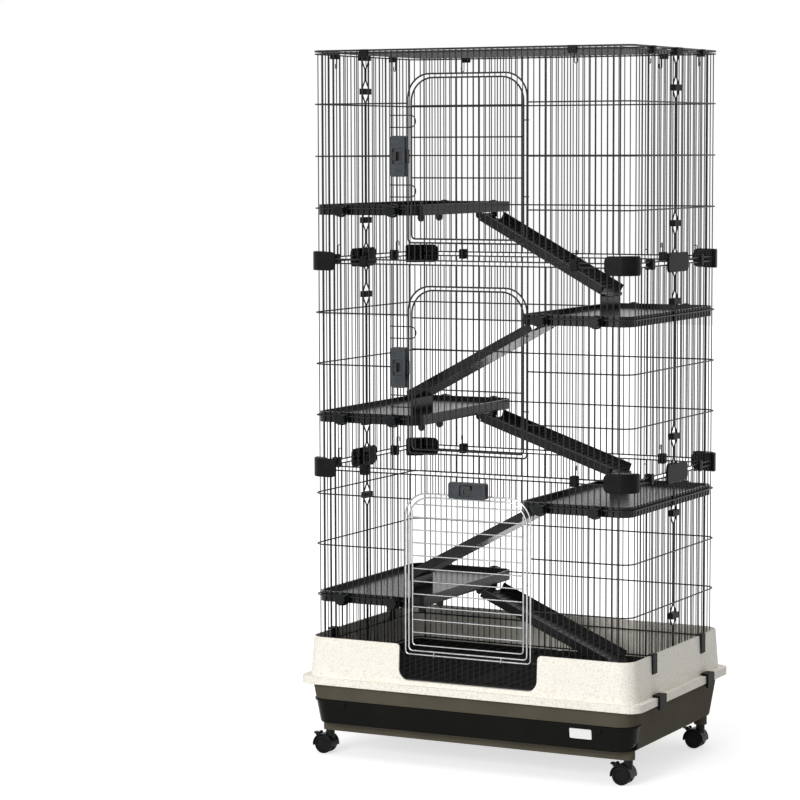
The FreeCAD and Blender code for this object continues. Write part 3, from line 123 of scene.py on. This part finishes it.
def spread(tree, value, low, high):
    m = tree.nodes.new("ShaderNodeMapRange")
    m.inputs["To Min"].default_value = low
    m.inputs["To Max"].default_value = high
    tree.links.new(value, m.inputs["Value"])
    return m.outputs["Result"]


def multiplied(tree, first, second):
    m = tree.nodes.new("ShaderNodeMix")
    m.data_type = "RGBA"
    m.blend_type = "MULTIPLY"
    m.inputs["Factor"].default_value = 1.0
    tree.links.new(first, m.inputs[MIX_A])
    tree.links.new(second, m.inputs[MIX_B])
    return m.outputs[MIX_RESULT]


def bump(tree, height, strength, distance, normal=None):
    b = tree.nodes.new("ShaderNodeBump")
    b.inputs["Strength"].default_value = strength
    b.inputs["Distance"].default_value = distance
    tree.links.new(height, b.inputs["Height"])
    if normal is not None:
        tree.links.new(normal, b.inputs["Normal"])
    return b.outputs["Normal"]


def soft_edges(tree, radius):
    b = tree.nodes.new("ShaderNodeBevel")
    b.samples = 4
    b.inputs["Radius"].default_value = radius
    return b.outputs["Normal"]


def surface(tree, shader, place, colours, rough, grain, normal=None):
    """Colour, roughness and fine grain, each spread over the surface by its own noise.

    colours is (scale, dark stop, light stop), rough is (scale, least, most),
    and grain is (scale, strength, depth)."""
    scale, dark, light = colours
    colour = ramp(tree, noise(tree, place, scale), [dark, light])
    tree.links.new(colour, shader.inputs["Base Color"])
    scale, least, most = rough
    tree.links.new(spread(tree, noise(tree, place, scale), least, most), shader.inputs["Roughness"])
    scale, strength, depth = grain
    peel = bump(tree, noise(tree, place, scale, 2.0), strength, depth, normal)
    tree.links.new(peel, shader.inputs["Normal"])


# Materials

def coated_wire(name, dark, light, rough):
    """Wire with a baked powder coat: nearly even, with the coat's fine orange peel."""
    mat, tree, shader, place = new_material(name, gloss=0.2)
    surface(tree, shader, place, (55.0, (0.3, dark), (0.75, light)),
            (420.0, rough - 0.05, rough + 0.08), (900.0, 0.12, 0.0002))
    return mat


def plated_wire(name, dark, light):
    """Bright plated wire, slightly uneven in its shine."""
    mat, tree, shader, place = new_material(name)
    shader.inputs["Metallic"].default_value = 1.0
    surface(tree, shader, place, (70.0, (0.3, dark), (0.7, light)),
            (300.0, 0.14, 0.3), (700.0, 0.08, 0.0002))
    return mat


def flecks(tree, place, base, cells, size, rare, fleck):
    """Small specks of one colour in some of the cells of a cell pattern."""
    v = tree.nodes.new("ShaderNodeTexVoronoi")
    v.inputs["Scale"].default_value = cells
    tree.links.new(place, v.inputs["Vector"])
    small = ramp(tree, v.outputs["Distance"], [(size * 0.7, WHITE), (size, BLACK)])
    pick = tree.nodes.new("ShaderNodeSeparateColor")
    tree.links.new(v.outputs["Color"], pick.inputs["Color"])
    some = ramp(tree, pick.outputs["Red"], [(rare, BLACK), (rare + 0.02, WHITE)])
    grey = tree.nodes.new("ShaderNodeRGBToBW")
    tree.links.new(multiplied(tree, small, some), grey.inputs["Color"])
    mixed = tree.nodes.new("ShaderNodeMix")
    mixed.data_type = "RGBA"
    tree.links.new(grey.outputs["Val"], mixed.inputs["Factor"])
    tree.links.new(base, mixed.inputs[MIX_A])
    mixed.inputs[MIX_B].default_value = (*fleck, 1.0)
    return mixed.outputs[MIX_RESULT]


def speckled_plastic(name):
    """Cream plastic with plant fibre mixed in: brown and grey flecks of two sizes."""
    mat, tree, shader, place = new_material(name)
    cream_low = (0.845, 0.815, 0.735)
    cream_high = (0.88, 0.85, 0.775)
    base = ramp(tree, noise(tree, place, 9.0), [(0.3, cream_low), (0.75, cream_high)])
    base = flecks(tree, place, base, cells=210.0, size=0.2, rare=0.72, fleck=(0.42, 0.37, 0.29))
    base = flecks(tree, place, base, cells=420.0, size=0.24, rare=0.62, fleck=(0.6, 0.55, 0.46))
    shade = (0.85, 0.84, 0.8)
    cloud = ramp(tree, noise(tree, place, 230.0, 4.0), [(0.48, WHITE), (0.66, shade)])
    tree.links.new(multiplied(tree, base, cloud), shader.inputs["Base Color"])
    rough = spread(tree, noise(tree, place, 160.0), 0.36, 0.5)
    tree.links.new(rough, shader.inputs["Roughness"])
    edge = soft_edges(tree, 0.0012)
    peel = bump(tree, noise(tree, place, 650.0, 2.0), 0.1, 0.0003, edge)
    tree.links.new(peel, shader.inputs["Normal"])
    return mat


def moulded_plastic(name, dark, light, rough, grain=0.1, cloud=14.0, edge=0.0007, gloss=0.2):
    """Moulded plastic with flow clouding, a fine grain and softened edges."""
    mat, tree, shader, place = new_material(name, gloss)
    surface(tree, shader, place, (cloud, (0.3, dark), (0.72, light)),
            (240.0, rough - 0.05, rough + 0.07), (800.0, grain, 0.0003), soft_edges(tree, edge))
    return mat


def plain_paper(name):
    """Blank matt paper for the bare sticker on the drawer."""
    mat, tree, shader, place = new_material(name)
    dark = (0.8, 0.8, 0.79)
    light = (0.88, 0.88, 0.87)
    surface(tree, shader, place, (90.0, (0.3, dark), (0.7, light)),
            (300.0, 0.5, 0.65), (1200.0, 0.1, 0.0001))
    return mat


black_wire = coated_wire("black_wire", (0.006, 0.006, 0.0062), (0.014, 0.014, 0.0145), 0.34)
grey_wire = plated_wire("plated_wire", (0.32, 0.325, 0.33), (0.46, 0.465, 0.47))
cream = speckled_plastic("cream_plastic")
brown = moulded_plastic(
    "brown_plastic", (0.082, 0.074, 0.055), (0.1, 0.09, 0.067), rough=0.6, gloss=0.02)
drawer_black = moulded_plastic(
    "drawer_plastic", (0.0045, 0.0045, 0.004), (0.0075, 0.0075, 0.0067),
    rough=0.24, grain=0.04, cloud=8.0, gloss=0.06)
tray_black = moulded_plastic(
    "tray_plastic", (0.004, 0.004, 0.0041), (0.008, 0.008, 0.0082),
    rough=0.22, grain=0.03, cloud=20.0, gloss=0.2)
mat_black = moulded_plastic(
    "mat_plastic", (0.003, 0.003, 0.003), (0.009, 0.009, 0.009),
    rough=0.5, grain=0.12, cloud=30.0, edge=0.0004, gloss=0.02)
fitting_black = moulded_plastic(
    "fitting_plastic", (0.005, 0.005, 0.0048), (0.01, 0.01, 0.0096),
    rough=0.36, cloud=40.0, gloss=0.05)
clip_black = moulded_plastic(
    "clip_plastic", (0.005, 0.005, 0.0048), (0.011, 0.011, 0.0106),
    rough=0.42, cloud=40.0, gloss=0.05)
knob_black = moulded_plastic(
    "knob_plastic", (0.004, 0.0045, 0.005), (0.008, 0.009, 0.0105),
    rough=0.2, grain=0.08, cloud=50.0, gloss=0.12)
latch_black = moulded_plastic(
    "latch_plastic", (0.024, 0.027, 0.031), (0.045, 0.05, 0.057),
    rough=0.24, grain=0.06, cloud=60.0)
slider_black = moulded_plastic(
    "slider_plastic", (0.009, 0.0095, 0.0105), (0.018, 0.019, 0.021),
    rough=0.18, grain=0.05, cloud=60.0, gloss=0.4)
caster_black = moulded_plastic(
    "caster_plastic", (0.006, 0.006, 0.006), (0.013, 0.013, 0.013),
    rough=0.34, grain=0.08, cloud=60.0, gloss=0.12)
wheel_black = moulded_plastic(
    "wheel_rubber", (0.005, 0.005, 0.005), (0.011, 0.011, 0.011),
    rough=0.45, grain=0.15, cloud=60.0, gloss=0.08)
paper = plain_paper("blank_sticker")

# The start of a node's name, and its material; the first that fits counts
MATERIALS = (
    ("door_lower", grey_wire),
    ("door_opening_lower", grey_wire),
    ("door_", black_wire),
    ("front_", black_wire),
    ("back_", black_wire),
    ("roof_wires", black_wire),
    ("roof_frame", black_wire),
    ("platform_knobs", knob_black),
    ("platform_", tray_black),
    ("ramp_", tray_black),
    ("latch_slider", slider_black),
    ("latch_cases", latch_black),
    ("skirt", cream),
    ("base_pan", brown),
    ("litter_drawer", drawer_black),
    ("mat_", mat_black),
    ("caster_wheel", wheel_black),
    ("caster_", caster_black),
    ("flange_clips", clip_black),
    ("wire_clips", clip_black),
)


def material_for(name):
    for start, material in MATERIALS:
        if name.startswith(start):
            return material
    return fitting_black


for name, obj in nodes.items():
    obj.data.materials.clear()
    obj.data.materials.append(material_for(name))


# The bare sticker on the drawer's front

def drawer_face_y(z):
    """The sloping front face of the drawer."""
    return -(FACE_LOW_Y + FACE_LEAN * (z - FACE_LOW_Z) / FACE_RISE)


def rounded_rectangle(x0, x1, z0, z1, radius, steps):
    """Points of the outline, corner by corner from the upper right."""
    corners = ((x1 - radius, z1 - radius, 0), (x0 + radius, z1 - radius, 90),
               (x0 + radius, z0 + radius, 180), (x1 - radius, z0 + radius, 270))
    points = []
    for cx, cz, start in corners:
        for i in range(steps + 1):
            a = math.radians(start + 90 * i / steps)
            points.append((cx + radius * math.cos(a), cz + radius * math.sin(a)))
    return points


def sticker(name):
    mesh = bpy.data.meshes.new(name)
    bm = bmesh.new()
    outline = rounded_rectangle(*STICKER_X, *STICKER_Z, STICKER_CORNER, STICKER_CORNER_STEPS)
    back = [bm.verts.new((x, drawer_face_y(z) - STICKER_GAP, z)) for x, z in outline]
    front = [bm.verts.new((x, drawer_face_y(z) - STICKER_THICK, z)) for x, z in outline]
    bm.faces.new(front)
    bm.faces.new(list(reversed(back)))
    count = len(outline)
    for i in range(count):
        j = (i + 1) % count
        bm.faces.new((front[i], back[i], back[j], front[j]))
    bmesh.ops.recalc_face_normals(bm, faces=bm.faces)
    bm.to_mesh(mesh)
    bm.free()
    obj = bpy.data.objects.new(name, mesh)
    scene.collection.objects.link(obj)
    obj.data.materials.append(paper)
    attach(obj, "litter_drawer")


sticker("blank_sticker")


# Floor, light and camera

def plainly_seen(tree):
    """1 for what the camera sees straight, in a reflection or through a clear piece."""
    path = tree.nodes.new("ShaderNodeLightPath")
    value = path.outputs["Is Camera Ray"]
    for name in ("Is Glossy Ray", "Is Transmission Ray"):
        most = tree.nodes.new("ShaderNodeMath")
        most.operation = "MAXIMUM"
        tree.links.new(value, most.inputs[0])
        tree.links.new(path.outputs[name], most.inputs[1])
        value = most.outputs[0]
    return value


def floor_material():
    """Pale grey that takes the shadow, with its own light added where it is plainly seen."""
    mat = bpy.data.materials.new("floor")
    mat.use_nodes = True
    tree = mat.node_tree
    tree.nodes.clear()
    out = tree.nodes.new("ShaderNodeOutputMaterial")
    diffuse = tree.nodes.new("ShaderNodeBsdfDiffuse")
    diffuse.inputs["Color"].default_value = (FLOOR_GREY, FLOOR_GREY, FLOOR_GREY, 1)
    glow = tree.nodes.new("ShaderNodeEmission")
    place = tree.nodes.new("ShaderNodeTexCoord")
    away = tree.nodes.new("ShaderNodeVectorMath")
    away.operation = "LENGTH"
    tree.links.new(place.outputs["Object"], away.inputs[0])
    shine = tree.nodes.new("ShaderNodeMapRange")
    shine.interpolation_type = "SMOOTHSTEP"
    shine.inputs["From Min"].default_value = GLOW_NEAR
    shine.inputs["From Max"].default_value = GLOW_FAR
    shine.inputs["To Min"].default_value = GLOW_NEAR_LEVEL
    shine.inputs["To Max"].default_value = GLOW_FAR_LEVEL
    tree.links.new(away.outputs["Value"], shine.inputs["Value"])
    level = tree.nodes.new("ShaderNodeMath")
    level.operation = "MULTIPLY"
    tree.links.new(shine.outputs["Result"], level.inputs[1])
    tree.links.new(plainly_seen(tree), level.inputs[0])
    tree.links.new(level.outputs[0], glow.inputs["Strength"])
    add = tree.nodes.new("ShaderNodeAddShader")
    tree.links.new(diffuse.outputs[0], add.inputs[0])
    tree.links.new(glow.outputs[0], add.inputs[1])
    tree.links.new(add.outputs[0], out.inputs["Surface"])
    return mat


def floor():
    half = FLOOR_HALF
    corners = [(-half, -half, FLOOR_Z), (half, -half, FLOOR_Z),
               (half, half, FLOOR_Z), (-half, half, FLOOR_Z)]
    mesh = bpy.data.meshes.new("floor")
    mesh.from_pydata(corners, [], [(0, 1, 2, 3)])
    mesh.materials.append(floor_material())
    obj = bpy.data.objects.new("floor", mesh)
    scene.collection.objects.link(obj)


def world_light(level):
    world = bpy.data.worlds.new("studio")
    scene.world = world
    world.use_nodes = True
    tree = world.node_tree
    tree.nodes.clear()
    out = tree.nodes.new("ShaderNodeOutputWorld")
    background = tree.nodes.new("ShaderNodeBackground")
    background.inputs["Color"].default_value = (*WHITE, 1)
    strength = tree.nodes.new("ShaderNodeMapRange")
    strength.inputs["To Min"].default_value = level
    strength.inputs["To Max"].default_value = PLAIN_WHITE
    tree.links.new(plainly_seen(tree), strength.inputs["Value"])
    tree.links.new(strength.outputs["Result"], background.inputs["Strength"])
    tree.links.new(background.outputs[0], out.inputs["Surface"])


def area_light(name, place, target, size, power):
    light = bpy.data.lights.new(name, "AREA")
    light.shape = "RECTANGLE"
    light.size, light.size_y = size
    light.energy = power
    obj = bpy.data.objects.new(name, light)
    scene.collection.objects.link(obj)
    obj.location = place
    obj.rotation_euler = (Vector(target) - Vector(place)).to_track_quat("-Z", "Y").to_euler()


def photo_camera():
    azimuth = math.radians(CAMERA_AZIMUTH)
    pitch = math.radians(CAMERA_PITCH)
    roll = math.radians(CAMERA_ROLL)
    forward = Vector((-math.sin(azimuth) * math.cos(pitch),
                      math.cos(azimuth) * math.cos(pitch),
                      -math.sin(pitch)))
    data = bpy.data.cameras.new("camera")
    data.sensor_width = CAMERA_SENSOR
    data.lens = CAMERA_LENS
    data.clip_end = CAMERA_CLIP_END
    camera = bpy.data.objects.new("camera", data)
    scene.collection.objects.link(camera)
    camera.location = CAMERA_PLACE
    turn = forward.to_track_quat("-Z", "Y") @ Quaternion((0, 0, 1), roll)
    camera.rotation_euler = turn.to_euler()
    scene.camera = camera


floor()
world_light(WORLD_LEVEL)
for lamp in LAMPS:
    area_light(*lamp)
photo_camera()
scene.view_settings.view_transform = "Standard"
